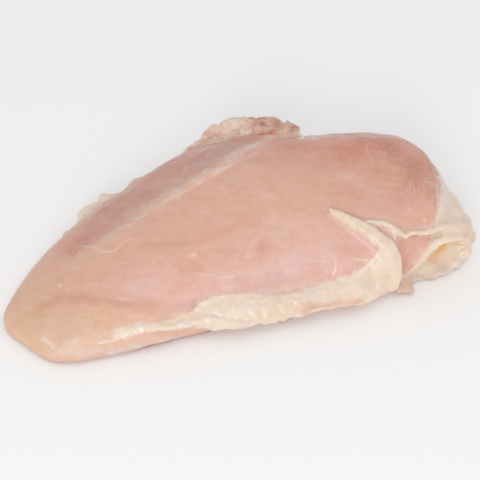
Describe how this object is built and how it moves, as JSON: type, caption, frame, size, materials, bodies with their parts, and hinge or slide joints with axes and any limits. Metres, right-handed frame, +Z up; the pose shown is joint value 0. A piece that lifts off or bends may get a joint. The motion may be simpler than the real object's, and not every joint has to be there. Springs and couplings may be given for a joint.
{
  "type": "raw chicken breast",
  "caption": "Raw boneless, skinless chicken breast half lying on its cut side, with a strip of fat along its front edge, a raised fat fold and ragged trimmings.",
  "frame": {"origin": "middle of the footprint, on the surface that the piece lies on", "axes": "+X from the thin tip to the thick shoulder end, +Y from the front edge with the fat strip to the keel side, +Z up from the surface it lies on"},
  "size_m": [0.1826, 0.0974, 0.0369],
  "materials": {
    "raw_chicken": "wet"
  },
  "bodies": {
    "root": {"chicken_breast": "raw_chicken"}
  },
  "joints": []
}
